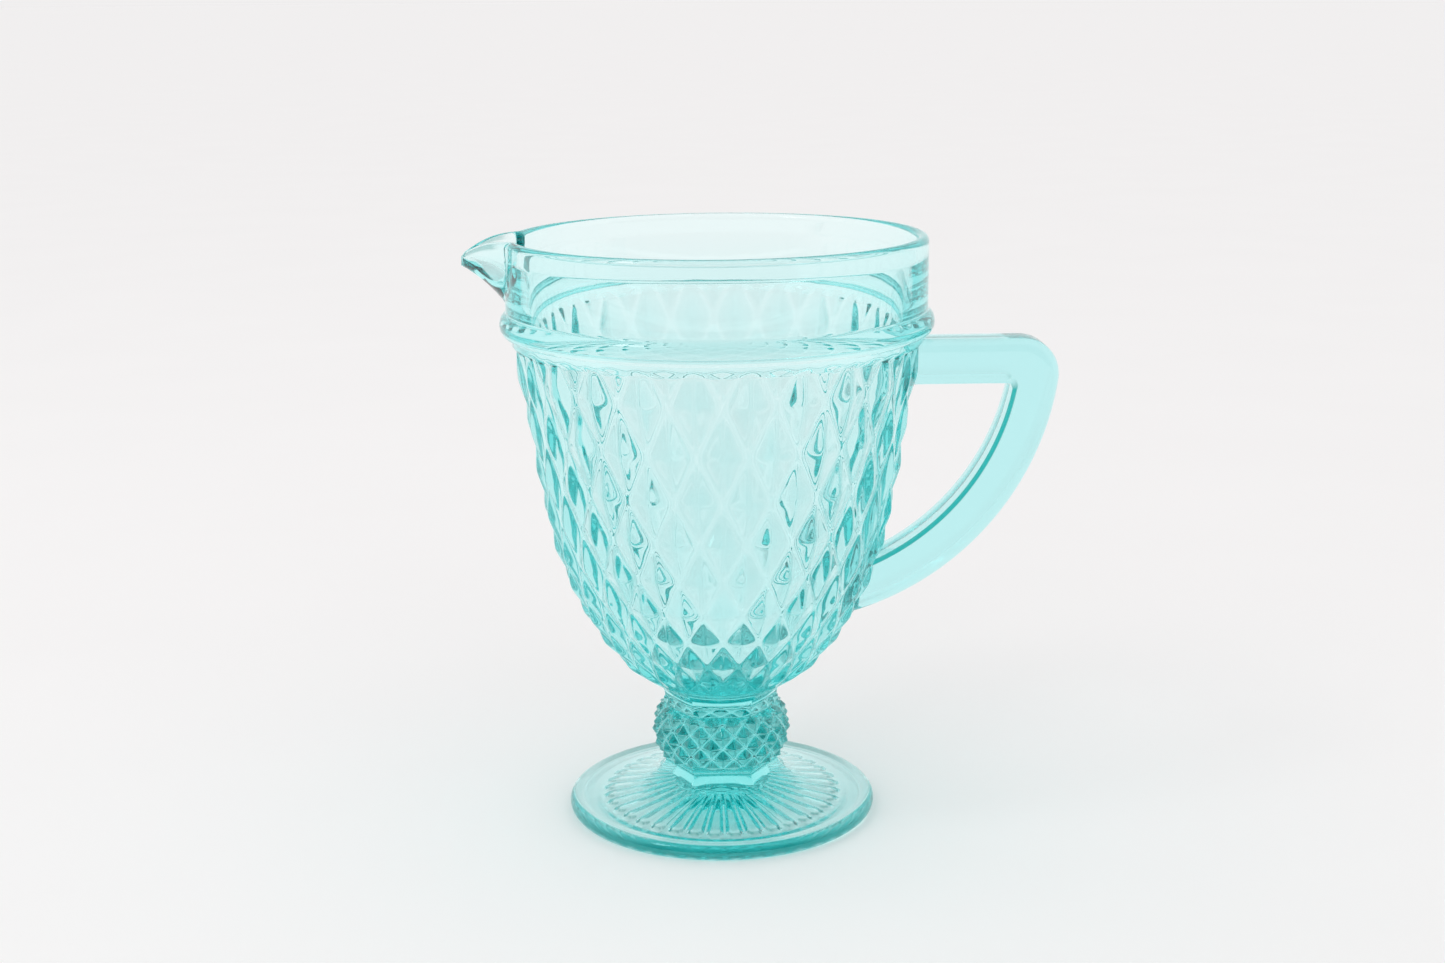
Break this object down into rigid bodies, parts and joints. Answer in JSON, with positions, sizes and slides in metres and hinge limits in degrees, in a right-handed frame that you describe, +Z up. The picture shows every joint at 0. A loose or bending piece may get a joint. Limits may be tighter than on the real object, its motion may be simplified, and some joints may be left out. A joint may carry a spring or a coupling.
{
  "type": "footed glass jug",
  "caption": "Footed pressed-glass jug with a diamond-patterned bowl, plain rim band, pouring spout and bar handle, for serving drinks.",
  "frame": {"origin": "centre of the foot's underside, on the table", "axes": "+Z up along the bowl's axis, +X towards the handle, -X towards the spout"},
  "size_m": [0.1836, 0.1338, 0.185],
  "materials": {
    "turquoise_glass": "clear pressed glass, tinted turquoise through its thickness, fire polished",
    "handle_glass": "the same glass with a softer, slightly satin surface"
  },
  "bodies": {
    "root": {"foot": "turquoise_glass", "stem_knop": "turquoise_glass", "bowl": "turquoise_glass", "rim_band": "turquoise_glass", "pouring_spout": "turquoise_glass", "handle": "handle_glass"}
  },
  "joints": []
}
